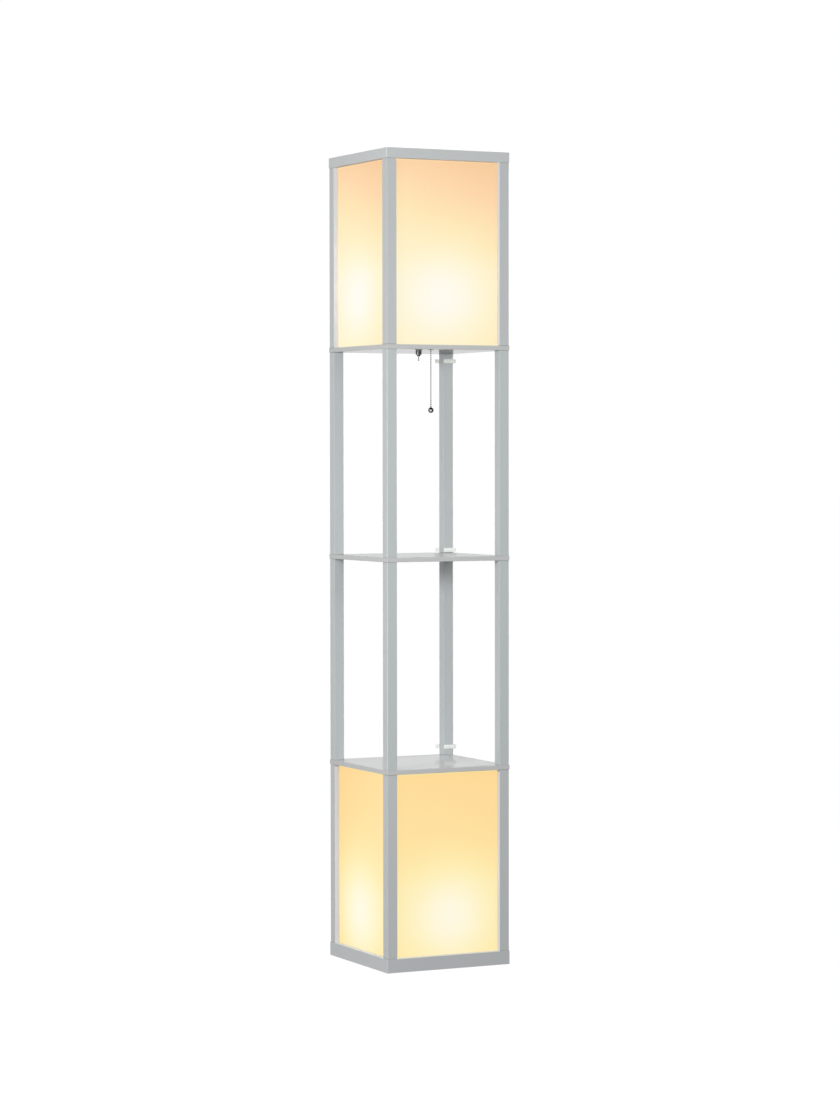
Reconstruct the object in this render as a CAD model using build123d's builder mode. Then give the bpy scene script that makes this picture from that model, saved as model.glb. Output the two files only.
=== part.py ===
from build123d import *
import math
import os

os.makedirs("parts", exist_ok=True)

# Shelf floor lamp, millimetres, +Z up. Origin: centre of the square footprint at floor level.
# The wide face of the photograph looks towards -Y, its narrow face towards -X.

# ---------------------------------------------------------------- driving sizes
HEIGHT = 1600.0          # floor to top of the rim
SIDE = 268.0             # base, shelves and rim are this square
HALF = SIDE / 2
POST = 21.0              # post section
POST_OUT = 133.0         # outer face of a post from the centre
POST_IN = POST_OUT - POST
POST_C = POST_OUT - POST / 2
BASE_H = 27.0            # height of the base block
SHELF_T = 9.0            # shelf thickness
LANTERN_POST = 359.0     # free length of the posts round a lantern
BAY_POST = 404.0         # free length of the posts of an open bay
RIM_H = 20.0             # height of the rim rails
RIM_W = HALF - POST_IN   # width of the rim rails
EASE = 1.0               # rounding of long timber edges
SEAM = 0.35              # small chamfer at post ends, which makes the seam lines

Z_BASE = BASE_H
Z_S3 = Z_BASE + LANTERN_POST          # underside of the lowest shelf
Z_S2 = Z_S3 + SHELF_T + BAY_POST
Z_S1 = Z_S2 + SHELF_T + BAY_POST
Z_LAN = Z_S1 + SHELF_T                # floor of the upper lantern
Z_RIM = Z_LAN + LANTERN_POST
Z_TOP = Z_RIM + RIM_H

PANEL_T = 3.0            # shade panel thickness
PANEL_OUT = 123.0        # outer face of a panel, 10 mm behind the posts' faces
PANEL_W = 230.0          # panel width, edges in the posts' grooves
GROOVE_W = 3.2
GROOVE_D = 3.2
GROOVE_MID = PANEL_OUT - PANEL_T / 2

STUD_R = 3.0
STUD_IN = 20.0           # stud length inside each post
CLEAR_R = 3.3            # clearance hole for a stud
DOWEL_R = 4.0
DOWEL_LOW = 18.0         # dowel length inside the post
DOWEL_UP = 12.0          # dowel length inside the rim

UP_X, UP_Y = -14.0, 18.0     # axis of the upper lampholder
LO_X, LO_Y = 8.0, 3.0        # axis of the lower lampholder

SW1_X, SW2_X, SW_Y = -53.5, -27.0, -110.0   # axes of the two pull switches
BEAD_R = 1.6
PITCH = 4.0
WIRE_R = 0.5
BALL_R = 5.4
BALL_Z = 1094.2
SWING_Z = Z_S1 - 3.0     # where the long chain bends, just below the shelf

LEAD_R = 2.5
LEAD_X, LEAD_Y = 136.7, 124.0
CLIP_H = 8.0
CLIP_Z = [411.9, 813.5, 1197.5]

CORNERS = {"near": (-1, -1), "right": (1, -1), "left": (-1, 1), "rear": (1, 1)}


# ---------------------------------------------------------------- fasteners
# Double-ended studs through the shelves, one at each post joint.
with BuildPart() as post_studs:
    for z in (Z_S3, Z_S2, Z_S1):
        with BuildSketch(Plane.XY.offset(z - STUD_IN)):
            with GridLocations(2 * POST_C, 2 * POST_C, 2, 2):
                Circle(STUD_R)
        extrude(amount=SHELF_T + 2 * STUD_IN)
post_studs.part.label = "post_studs"
export_step(post_studs.part, "parts/post_studs.step")

# Bolts from below through the base block into the lowest posts.
with BuildPart() as base_bolts:
    with BuildSketch(Plane.XY.offset(2)):
        with GridLocations(2 * POST_C, 2 * POST_C, 2, 2):
            Circle(5)
    extrude(amount=6)
    with BuildSketch(Plane.XY.offset(8)):
        with GridLocations(2 * POST_C, 2 * POST_C, 2, 2):
            Circle(STUD_R)
    extrude(amount=38)
    with BuildSketch(Plane.XY.offset(2)):
        with GridLocations(2 * POST_C, 2 * POST_C, 2, 2):
            RegularPolygon(2.5, 6)
    extrude(amount=3, mode=Mode.SUBTRACT)
base_bolts.part.label = "base_bolts"
export_step(base_bolts.part, "parts/base_bolts.step")

# Wooden dowels between the top posts and the rim.
with BuildPart() as rim_dowels:
    with BuildSketch(Plane.XY.offset(Z_RIM - DOWEL_LOW)):
        with GridLocations(2 * POST_C, 2 * POST_C, 2, 2):
            Circle(DOWEL_R)
    extrude(amount=DOWEL_LOW + DOWEL_UP)
rim_dowels.part.label = "rim_dowels"
export_step(rim_dowels.part, "parts/rim_dowels.step")

# Countersunk wood screws: base cover, lampholder flanges and junction box.
COVER_T = 4.0
HOLDER_SCREW = 21.5
JB = (44.0, 78.0, 82.0, 106.0)       # junction box: x from, x to, y from, y to
JB_H = 18.0
screws_up = [(sx * 97.0, sy * 97.0, 0.0) for sx in (-1, 1) for sy in (-1, 1)]
screws_down = [
    (UP_X, UP_Y - HOLDER_SCREW, Z_LAN + 4.0),
    (UP_X, UP_Y + HOLDER_SCREW, Z_LAN + 4.0),
    (LO_X, LO_Y - HOLDER_SCREW, Z_BASE + 4.0),
    (LO_X, LO_Y + HOLDER_SCREW, Z_BASE + 4.0),
    (JB[0] - 4.0, 94.0, Z_LAN + 4.0),
]
with BuildPart() as wood_screws:
    for x, y, z in screws_up + screws_down:
        d = 1 if z == 0.0 else -1
        with BuildSketch(Plane.XZ.offset(-y)):
            with BuildLine():
                Polyline((x, z), (x + 3.5, z), (x + 1.75, z + 2 * d), (x + 1.75, z + 9 * d),
                         (x, z + 11 * d), close=True)
            make_face()
        revolve(axis=Axis((x, y, z), (0, 0, 1)))
wood_screws.part.label = "wood_screws"
export_step(wood_screws.part, "parts/wood_screws.step")

# ---------------------------------------------------------------- base
CAVITY = 180.0
COVER = 208.0
LEAD_IN = (126.8, 104.0)             # where the lead goes down into the base
with BuildPart() as base_block:
    with BuildSketch():
        RectangleRounded(SIDE, SIDE, EASE)
    extrude(amount=BASE_H)
    fillet(base_block.faces().sort_by(Axis.Z)[-1].edges(), 0.6)
    with BuildSketch():
        Rectangle(CAVITY, CAVITY)
    extrude(amount=18, mode=Mode.SUBTRACT)
    with BuildSketch():
        Rectangle(COVER, COVER)
    extrude(amount=COVER_T, mode=Mode.SUBTRACT)
    with BuildSketch():
        with GridLocations(2 * POST_C, 2 * POST_C, 2, 2):
            Circle(6.5)
    extrude(amount=8, mode=Mode.SUBTRACT)
    with BuildSketch():
        with GridLocations(2 * POST_C, 2 * POST_C, 2, 2):
            Circle(CLEAR_R)
    extrude(amount=BASE_H, mode=Mode.SUBTRACT)
    # wire hole under the lower lampholder
    with BuildSketch(Plane.XY.offset(15)):
        with Locations((LO_X + 8, LO_Y)):
            Circle(2.5)
    extrude(amount=15, mode=Mode.SUBTRACT)
    # well for the link lead, and a slanting bore from it to the cavity
    with BuildSketch(Plane.XY.offset(10)):
        with Locations(LEAD_IN):
            Circle(LEAD_R + 0.3)
    extrude(amount=20, mode=Mode.SUBTRACT)
    run = Vector(80 - LEAD_IN[0], 76 - LEAD_IN[1], 0)
    with BuildSketch(Plane(origin=(LEAD_IN[0], LEAD_IN[1], 13.5), z_dir=run)):
        Circle(2.2)
    extrude(amount=run.length, mode=Mode.SUBTRACT)
    # mains inlet at the middle of the rear face
    with BuildSketch(Plane(origin=(0, HALF, 13.5), z_dir=(0, -1, 0))):
        Circle(5)
    extrude(amount=60, mode=Mode.SUBTRACT)
    with BuildSketch(Plane(origin=(0, HALF, 13.5), z_dir=(0, -1, 0))):
        Circle(8)
    extrude(amount=2, mode=Mode.SUBTRACT)
    add(wood_screws.part, mode=Mode.SUBTRACT)
base_block.part.label = "base_block"
export_step(base_block.part, "parts/base_block.step")

with BuildPart() as base_cover:
    with BuildSketch():
        Rectangle(COVER - 0.8, COVER - 0.8)
    extrude(amount=COVER_T)
    add(wood_screws.part, mode=Mode.SUBTRACT)
base_cover.part.label = "base_cover"
export_step(base_cover.part, "parts/base_cover.step")

# Flush gland that the mains flex of a user's choice passes through.
with BuildPart() as inlet_gland:
    with BuildSketch(Plane(origin=(0, HALF, 13.5), z_dir=(0, -1, 0))):
        Circle(8)
    extrude(amount=2)
    with BuildSketch(Plane(origin=(0, HALF, 13.5), z_dir=(0, -1, 0))):
        Circle(5)
    extrude(amount=48)
    with BuildSketch(Plane(origin=(0, HALF, 13.5), z_dir=(0, -1, 0))):
        Circle(3.2)
    extrude(amount=48, mode=Mode.SUBTRACT)
inlet_gland.part.label = "inlet_gland"
export_step(inlet_gland.part, "parts/inlet_gland.step")

TB = (20.0, 66.0, 46.0, 64.0)        # terminal block in the cavity, on the base cover
with BuildPart() as terminal_block:
    with BuildSketch(Plane.XY.offset(COVER_T)):
        with Locations(((TB[0] + TB[1]) / 2, (TB[2] + TB[3]) / 2)):
            Rectangle(TB[1] - TB[0], TB[3] - TB[2])
    extrude(amount=10)
    chamfer(terminal_block.faces().sort_by(Axis.Z)[-1].edges().filter_by(Axis.X), 2)
    with BuildSketch(Plane.XY.offset(COVER_T + 10)):
        with Locations(((TB[0] + TB[1]) / 2, (TB[2] + TB[3]) / 2)):
            with GridLocations(11, 9, 4, 2):
                Circle(1.8)
    extrude(amount=-5, mode=Mode.SUBTRACT)
terminal_block.part.label = "terminal_block"
export_step(terminal_block.part, "parts/terminal_block.step")

# ---------------------------------------------------------------- posts
levels = {
    "lower_lantern": (Z_BASE, LANTERN_POST),
    "lower_bay": (Z_S3 + SHELF_T, BAY_POST),
    "upper_bay": (Z_S2 + SHELF_T, BAY_POST),
    "upper_lantern": (Z_LAN, LANTERN_POST),
}
for level, (z0, length) in levels.items():
    for corner, (sx, sy) in CORNERS.items():
        with BuildPart() as post:
            with BuildSketch(Plane.XY.offset(z0)):
                with Locations((sx * POST_C, sy * POST_C)):
                    RectangleRounded(POST, POST, EASE)
            extrude(amount=length)
            chamfer(post.faces().filter_by(Axis.Z).edges(), SEAM)
            if "lantern" in level:
                # grooves for the two shade panels that meet at this post
                with BuildSketch(Plane.XY.offset(z0)):
                    with Locations((sx * (POST_IN + GROOVE_D / 2), sy * GROOVE_MID)):
                        Rectangle(GROOVE_D, GROOVE_W)
                    with Locations((sx * GROOVE_MID, sy * (POST_IN + GROOVE_D / 2))):
                        Rectangle(GROOVE_W, GROOVE_D)
                extrude(amount=length, mode=Mode.SUBTRACT)
            with BuildSketch(Plane.XY.offset(z0)):
                with Locations((sx * POST_C, sy * POST_C)):
                    Circle(STUD_R)
            extrude(amount=STUD_IN + 1, mode=Mode.SUBTRACT)
            with BuildSketch(Plane.XY.offset(z0 + length)):
                with Locations((sx * POST_C, sy * POST_C)):
                    Circle(DOWEL_R if level == "upper_lantern" else STUD_R)
            extrude(amount=-(STUD_IN + 1), mode=Mode.SUBTRACT)
        name = f"{level}_post_{corner}"
        post.part.label = name
        export_step(post.part, f"parts/{name}.step")

# ---------------------------------------------------------------- shelves
for number, z0 in ((3, Z_S3), (2, Z_S2), (1, Z_S1)):
    with BuildPart() as shelf:
        with BuildSketch(Plane.XY.offset(z0)):
            RectangleRounded(SIDE, SIDE, EASE)
        extrude(amount=SHELF_T)
        fillet(shelf.faces().filter_by(Axis.Z).edges(), 0.7)
        with BuildSketch(Plane.XY.offset(z0)):
            with GridLocations(2 * POST_C, 2 * POST_C, 2, 2):
                Circle(CLEAR_R)
            if number == 1:
                with Locations((SW1_X, SW_Y), (SW2_X, SW_Y)):
                    Circle(5.1)
        extrude(amount=SHELF_T, mode=Mode.SUBTRACT)
        if number == 1:
            add(wood_screws.part, mode=Mode.SUBTRACT)
    name = {3: "lower_shelf", 2: "middle_shelf", 1: "upper_shelf"}[number]
    shelf.part.label = name
    export_step(shelf.part, f"parts/{name}.step")

# ---------------------------------------------------------------- rim
# Front and rear rails run the whole width; the side rails are tongued in between them.
TONGUE = (14.0, 5.0, 10.0)           # width, length, height
for name, sy in (("rim_rail_front", -1), ("rim_rail_rear", 1)):
    with BuildPart() as rail:
        with BuildSketch(Plane.XY.offset(Z_RIM)):
            with Locations((0, sy * (HALF - RIM_W / 2))):
                Rectangle(SIDE, RIM_W)
        extrude(amount=RIM_H)
        outer = rail.edges().filter_by(Axis.Z).group_by(Axis.Y)[0 if sy < 0 else -1]
        fillet(outer, EASE)
        top = rail.faces().sort_by(Axis.Z)[-1].edges().filter_by(Axis.X).sort_by(Axis.Y)[0 if sy < 0 else -1]
        low = rail.faces().sort_by(Axis.Z)[0].edges().filter_by(Axis.X).sort_by(Axis.Y)[0 if sy < 0 else -1]
        fillet([top, low], 0.6)
        with BuildSketch(Plane.XY.offset(Z_RIM)):
            with Locations((-POST_C, sy * POST_C), (POST_C, sy * POST_C)):
                Circle(DOWEL_R)
        extrude(amount=DOWEL_UP, mode=Mode.SUBTRACT)
        with BuildSketch(Plane(origin=(0, sy * POST_IN, Z_RIM + RIM_H / 2), x_dir=(1, 0, 0), z_dir=(0, sy, 0))):
            with Locations((-(HALF - RIM_W / 2), 0), (HALF - RIM_W / 2, 0)):
                Rectangle(TONGUE[0], TONGUE[2])
        extrude(amount=TONGUE[1], mode=Mode.SUBTRACT)
    rail.part.label = name
    export_step(rail.part, f"parts/{name}.step")

for name, sx in (("rim_rail_left", -1), ("rim_rail_right", 1)):
    with BuildPart() as rail:
        with BuildSketch(Plane.XY.offset(Z_RIM)):
            with Locations((sx * (HALF - RIM_W / 2), 0)):
                Rectangle(RIM_W, 2 * POST_IN)
        extrude(amount=RIM_H)
        top = rail.faces().sort_by(Axis.Z)[-1].edges().filter_by(Axis.Y).sort_by(Axis.X)[0 if sx < 0 else -1]
        low = rail.faces().sort_by(Axis.Z)[0].edges().filter_by(Axis.Y).sort_by(Axis.X)[0 if sx < 0 else -1]
        fillet([top, low], 0.6)
        with BuildSketch(Plane.XY.offset(Z_RIM + (RIM_H - TONGUE[2]) / 2)):
            with Locations((sx * (HALF - RIM_W / 2), 0)):
                Rectangle(TONGUE[0], 2 * (POST_IN + TONGUE[1]))
        extrude(amount=TONGUE[2])
    rail.part.label = name
    export_step(rail.part, f"parts/{name}.step")

# ---------------------------------------------------------------- shade panels
GROMMET = (100.0, Z_LAN + 27.0)      # y and z of the lead's hole in the right-hand upper panel
for lantern, z0 in (("lower", Z_BASE), ("upper", Z_LAN)):
    for side, (nx, ny) in {"front": (0, -1), "left": (-1, 0), "rear": (0, 1), "right": (1, 0)}.items():
        with BuildPart() as panel:
            with BuildSketch(Plane.XY.offset(z0)):
                with Locations((nx * GROOVE_MID, ny * GROOVE_MID)):
                    Rectangle(PANEL_W if nx == 0 else PANEL_T, PANEL_W if ny == 0 else PANEL_T)
            extrude(amount=LANTERN_POST - 0.2)
            if lantern == "upper" and side == "right":
                with BuildSketch(Plane(origin=(PANEL_OUT + 1, GROMMET[0], GROMMET[1]), z_dir=(-1, 0, 0))):
                    Circle(4.5)
                extrude(amount=PANEL_T + 2, mode=Mode.SUBTRACT)
        name = f"{lantern}_shade_{side}"
        panel.part.label = name
        export_step(panel.part, f"parts/{name}.step")

# Rubber grommet in that hole: a ring with a groove that the panel sits in.
with BuildPart() as panel_grommet:
    with BuildSketch(Plane.XZ.offset(-GROMMET[0])):
        with BuildLine():
            z1 = GROMMET[1]
            a, b = PANEL_OUT - PANEL_T, PANEL_OUT
            Polyline((a - 1.6, z1 + 2.8), (a - 1.6, z1 + 5.2), (a - 0.8, z1 + 6.2), (a, z1 + 6.2), (a, z1 + 4.5),
                     (b, z1 + 4.5), (b, z1 + 6.2), (b + 0.8, z1 + 6.2), (b + 1.6, z1 + 5.2), (b + 1.6, z1 + 2.8),
                     close=True)
        make_face()
    revolve(axis=Axis((0, GROMMET[0], GROMMET[1]), (1, 0, 0)))
panel_grommet.part.label = "panel_grommet"
export_step(panel_grommet.part, "parts/panel_grommet.step")

# ---------------------------------------------------------------- lampholders and bulbs
SHELL_R = 13.75          # bore of the holder, outside of the screw shell
CAP_R = 13.45            # inside of the screw shell, outside of the bulb's cap
places = {"upper": (UP_X, UP_Y, Z_LAN), "lower": (LO_X, LO_Y, Z_BASE)}
for which, (x, y, z) in places.items():
    with BuildPart() as holder:
        with BuildSketch(Plane.XZ.offset(-y)):
            with BuildLine():
                Polyline((x, z), (x + 27, z), (x + 27, z + 3), (x + 26, z + 4), (x + 19.5, z + 4),
                         (x + 19.5, z + 26), (x + 18.2, z + 28), (x + 18.2, z + 42), (x + 17, z + 44),
                         (x + SHELL_R, z + 44), (x + SHELL_R, z + 9), (x, z + 9), close=True)
            make_face()
        revolve(axis=Axis((x, y, z), (0, 0, 1)))
        with BuildSketch(Plane.XY.offset(z)):
            with Locations((x + 8, y)):
                Circle(2.5)
        extrude(amount=9, mode=Mode.SUBTRACT)
        with BuildSketch(Plane(origin=(x + 8, y, z + 6.6), z_dir=(1, 0, 0))):
            Circle(1.8)
        extrude(amount=14, mode=Mode.SUBTRACT)
        add(wood_screws.part, mode=Mode.SUBTRACT)
    holder.part.label = f"{which}_lampholder"
    export_step(holder.part, f"parts/{which}_lampholder.step")

# Screw shells and centre contacts of both holders.
with BuildPart() as holder_contacts:
    for x, y, z in places.values():
        with BuildSketch(Plane.XZ.offset(-y)):
            with BuildLine():
                Polyline((x + SHELL_R, z + 9), (x + SHELL_R, z + 42), (x + CAP_R, z + 42), (x + CAP_R, z + 9.8),
                         (x + 10.8, z + 9.8), (x + 10.8, z + 9), close=True)
            make_face()
        revolve(axis=Axis((x, y, z), (0, 0, 1)))
        with BuildSketch(Plane.XZ.offset(-y)):
            with BuildLine():
                Polyline((x, z + 9), (x + 4.6, z + 9), (x + 4.6, z + 10), (x + 3, z + 12), (x, z + 12), close=True)
            make_face()
        revolve(axis=Axis((x, y, z), (0, 0, 1)))
holder_contacts.part.label = "holder_contacts"
export_step(holder_contacts.part, "parts/holder_contacts.step")

NECK_R = 11.9
GLASS_T = 1.0
for which, (x, y, z) in places.items():
    with BuildPart() as cap:
        with BuildSketch(Plane.XZ.offset(-y)):
            with BuildLine():
                Polyline((x, z + 12), (x + 4.6, z + 12), (x + 5, z + 14), (x + 11.5, z + 17), (x + CAP_R, z + 18.5),
                         (x + CAP_R, z + 38), (x + NECK_R, z + 38), (x + NECK_R, z + 20), (x, z + 20), close=True)
            make_face()
        revolve(axis=Axis((x, y, z), (0, 0, 1)))
    cap.part.label = f"{which}_bulb_cap"
    export_step(cap.part, f"parts/{which}_bulb_cap.step")

    with BuildPart() as glass:
        for t, mode in ((0.0, Mode.ADD), (GLASS_T, Mode.SUBTRACT)):
            with BuildSketch(Plane.XZ.offset(-y)):
                with BuildLine():
                    n0 = (x + NECK_R - t, z + 33)
                    n1 = (x + NECK_R - t, z + 42)
                    wide = (x + 30 - t, z + 87)
                    crown = (x, z + 117 - t)
                    k = (30 - t) * math.sin(math.radians(45))
                    Line((x, z + 33), n0)
                    Line(n0, n1)
                    Spline(n1, wide, tangents=[(0, 1), (0, 1)])
                    ThreePointArc(wide, (x + k, z + 87 + k), crown)
                    Line(crown, (x, z + 33))
                make_face()
            revolve(axis=Axis((x, y, z), (0, 0, 1)), mode=mode)
    glass.part.label = f"{which}_bulb_glass"
    export_step(glass.part, f"parts/{which}_bulb_glass.step")

# ---------------------------------------------------------------- pull switches
BORE_R = 2.3
HOUSE_Y0, HOUSE_Y1 = -119.0, -97.0
HOUSE_H = 17.5
for number, x in ((1, SW1_X), (2, SW2_X)):
    with BuildPart() as housing:
        with BuildSketch(Plane.XY.offset(Z_LAN)):
            with Locations((x, (HOUSE_Y0 + HOUSE_Y1) / 2)):
                RectangleRounded(22, HOUSE_Y1 - HOUSE_Y0, 2)
        extrude(amount=HOUSE_H)
        fillet(housing.faces().sort_by(Axis.Z)[-1].edges(), 1)
        with BuildSketch(Plane.XY.offset(Z_LAN + 3)):
            with Locations((x, SW_Y)):
                Circle(5.5)
        extrude(amount=12.3, mode=Mode.SUBTRACT)
        with BuildSketch(Plane.XY.offset(Z_LAN)):
            with Locations((x, SW_Y)):
                Circle(5)
        extrude(amount=4, mode=Mode.SUBTRACT)
    housing.part.label = f"switch_{number}_housing"
    export_step(housing.part, f"parts/switch_{number}_housing.step")

TIP_Z = 1198.6
with BuildPart() as neck:
    with BuildSketch(Plane.XZ.offset(-SW_Y)):
        with BuildLine():
            x = SW1_X
            Polyline((x + BORE_R, TIP_Z), (x + 3.2, TIP_Z), (x + 6.25, TIP_Z + 2.6), (x + 6.25, Z_S1 - 1.4),
                     (x + 7.4, Z_S1 - 1.2), (x + 7.4, Z_S1), (x + 5, Z_S1), (x + 5, Z_LAN + 3),
                     (x + BORE_R, Z_LAN + 3), close=True)
        make_face()
    revolve(axis=Axis((SW1_X, SW_Y, 0), (0, 0, 1)))
neck.part.label = "switch_1_neck"
export_step(neck.part, "parts/switch_1_neck.step")

with BuildPart() as bushing:
    with BuildSketch(Plane.XZ.offset(-SW_Y)):
        with BuildLine():
            x = SW2_X
            Polyline((x + BORE_R + 0.4, Z_S1 - 0.6), (x + 5.6, Z_S1 - 0.6), (x + 6.2, Z_S1), (x + 5, Z_S1), (x + 5, Z_LAN + 3),
                     (x + BORE_R, Z_LAN + 3), (x + BORE_R, Z_S1 - 0.2), close=True)
        make_face()
    revolve(axis=Axis((SW2_X, SW_Y, 0), (0, 0, 1)))
bushing.part.label = "switch_2_bushing"
export_step(bushing.part, "parts/switch_2_bushing.step")

PLUNGER_Z = Z_LAN + 12.0
# Short chain of the first switch: plunger head, wire and beads, the last two below the neck.
with BuildPart() as pull_1:
    with BuildSketch(Plane.XY.offset(PLUNGER_Z)):
        with Locations((SW1_X, SW_Y)):
            Circle(4.5)
    extrude(amount=3)
    with BuildSketch(Plane.XY.offset(1191.6)):
        with Locations((SW1_X, SW_Y)):
            Circle(WIRE_R)
    extrude(amount=PLUNGER_Z - 1191.6)
    with Locations(*[(SW1_X, SW_Y, 1191.6 + PITCH * k) for k in range(9)]):
        Sphere(BEAD_R)
pull_1.part.label = "pull_1_chain"
export_step(pull_1.part, "parts/pull_1_chain.step")

# Long chain of the second switch: the part inside the bushing only slides.
with BuildPart() as stem:
    with BuildSketch(Plane.XY.offset(PLUNGER_Z)):
        with Locations((SW2_X, SW_Y)):
            Circle(4.5)
    extrude(amount=3)
    with BuildSketch(Plane.XY.offset(SWING_Z + BEAD_R + 0.15)):
        with Locations((SW2_X, SW_Y)):
            Circle(WIRE_R)
    extrude(amount=PLUNGER_Z - SWING_Z - BEAD_R - 0.15)
    with Locations(*[(SW2_X, SW_Y, SWING_Z + PITCH * k) for k in range(1, 5)]):
        Sphere(BEAD_R)
stem.part.label = "pull_2_stem"
export_step(stem.part, "parts/pull_2_stem.step")

with BuildPart() as link:
    with Locations((SW2_X, SW_Y, SWING_Z)):
        Sphere(BEAD_R)
link.part.label = "pull_2_link"
export_step(link.part, "parts/pull_2_link.step")

BEADS = int((SWING_Z - PITCH - (BALL_Z + BALL_R)) / PITCH) + 1
with BuildPart() as chain:
    with BuildSketch(Plane.XY.offset(BALL_Z)):
        with Locations((SW2_X, SW_Y)):
            Circle(WIRE_R)
    extrude(amount=SWING_Z - BEAD_R - 0.15 - BALL_Z)
    with Locations(*[(SW2_X, SW_Y, SWING_Z - PITCH * (k + 1)) for k in range(BEADS)]):
        Sphere(BEAD_R)
chain.part.label = "pull_2_chain"
export_step(chain.part, "parts/pull_2_chain.step")

with BuildPart() as ball:
    with Locations((SW2_X, SW_Y, BALL_Z)):
        Sphere(BALL_R)
    add(chain.part, mode=Mode.SUBTRACT)
ball.part.label = "pull_ball"
export_step(ball.part, "parts/pull_ball.step")

# ---------------------------------------------------------------- junction box and link lead
with BuildPart() as junction:
    with BuildSketch(Plane.XY.offset(Z_LAN)):
        with Locations(((JB[0] + JB[1]) / 2, (JB[2] + JB[3]) / 2)):
            RectangleRounded(JB[1] - JB[0], JB[3] - JB[2], 2.5)
    extrude(amount=JB_H)
    fillet(junction.faces().sort_by(Axis.Z)[-1].edges(), 1.2)
    # fixing ear with one screw
    with BuildSketch(Plane.XY.offset(Z_LAN)):
        with Locations((JB[0] - 4, 94)):
            Rectangle(14, 10)
    extrude(amount=4)
    with BuildSketch(Plane.XY.offset(Z_LAN + 3)):
        with Locations(((JB[0] + JB[1]) / 2, (JB[2] + JB[3]) / 2)):
            Rectangle(JB[1] - JB[0] - 4, JB[3] - JB[2] - 4)
    extrude(amount=JB_H - 5, mode=Mode.SUBTRACT)
    add(wood_screws.part, mode=Mode.SUBTRACT)
junction.part.label = "junction_box"
export_step(junction.part, "parts/junction_box.step")

# The link lead: junction box, grommet, outside of the rear post, recess beside it, base.
route = [
    (JB[1], 94.0, Z_LAN + 9.0),
    (JB[1] + 16.0, 94.0, Z_LAN + 9.0),
    (108.0, GROMMET[0], GROMMET[1]),
    (LEAD_X, GROMMET[0], GROMMET[1]),
    (LEAD_X, LEAD_Y, Z_S1),
    (LEAD_X, LEAD_Y, 378.0),
    (LEAD_X, 105.0, 352.0),
    (LEAD_IN[0], LEAD_IN[1], 325.0),
    (LEAD_IN[0], LEAD_IN[1], 14.0),
]


def tube(points, radius, share=0.45):
    """A round tube along straight runs joined by tangent arcs as large as the runs allow."""
    v = [Vector(*p) for p in points]
    radii = []
    for a, b, c in zip(v, v[1:], v[2:]):
        turn = math.radians((b - a).get_angle(c - b))
        radii.append(share * min((b - a).length, (c - b).length) / math.tan(turn / 2))
    with BuildPart() as made:
        with BuildLine() as path:
            if radii:
                FilletPolyline(*points, radius=radii)
            else:
                Line(*points)
        length = sum(e.length for e in path.edges())
        with BuildSketch(Plane(origin=points[0], z_dir=v[1] - v[0])):
            Circle(radius)
        sweep(path=path.wires()[0])
    return made, radii, length


lead, lead_radii, lead_length = tube(route, LEAD_R)
print("link lead", round(lead_length, 1), "radii", [round(r, 1) for r in lead_radii],
      "volume ratio", round(lead.part.volume / (math.pi * LEAD_R ** 2 * lead_length), 5))
lead.part.label = "link_lead"
export_step(lead.part, "parts/link_lead.step")

# Snap-on clips round the rear post, open towards -X, with a pocket for the lead on the +X side.
CT = 1.4
CLIP_IN = LEAD_X + LEAD_R            # inner face of the bridge
with BuildPart() as clips:
    for zc in CLIP_Z:
        with BuildSketch(Plane.XY.offset(zc - CLIP_H / 2)):
            with BuildLine():
                x0, x1, x2 = POST_IN + 0.3, CLIP_IN, CLIP_IN + CT
                y0, y1 = POST_IN, POST_OUT
                FilletPolyline((POST_IN - 3.0, y1 + CT), (x2, y1 + CT), (x2, y0 - CT), (POST_IN + 3.0, y0 - CT), radius=2.4)
                Line((POST_IN + 3.0, y0 - CT), (x0, y0 - CT))
                Line((x0, y0 - CT), (x0, y0))
                Line((x0, y0), (POST_IN + 3.0, y0))
                FilletPolyline((POST_IN + 3.0, y0), (x1, y0), (x1, y1), (POST_IN - 3.0, y1), radius=1.0)
                Line((POST_IN - 3.0, y1), (POST_IN - 8.0, y1))
                Line((POST_IN - 8.0, y1), (POST_IN - 8.0, y1 + CT))
                Line((POST_IN - 8.0, y1 + CT), (POST_IN - 3.0, y1 + CT))
            make_face()
            # thickened end of the long leg, which a thumb pushes
            with Locations((POST_IN - 6.8, y1 + CT)):
                Circle(1.1)
            # two nibs that keep the lead in the middle of the pocket
            with Locations((CLIP_IN - 0.7, LEAD_Y - LEAD_R - 0.9), (CLIP_IN - 0.7, LEAD_Y + LEAD_R + 0.9)):
                Rectangle(1.5, 1.2)
        extrude(amount=CLIP_H)
clips.part.label = "lead_clips"
export_step(clips.part, "parts/lead_clips.step")

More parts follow.
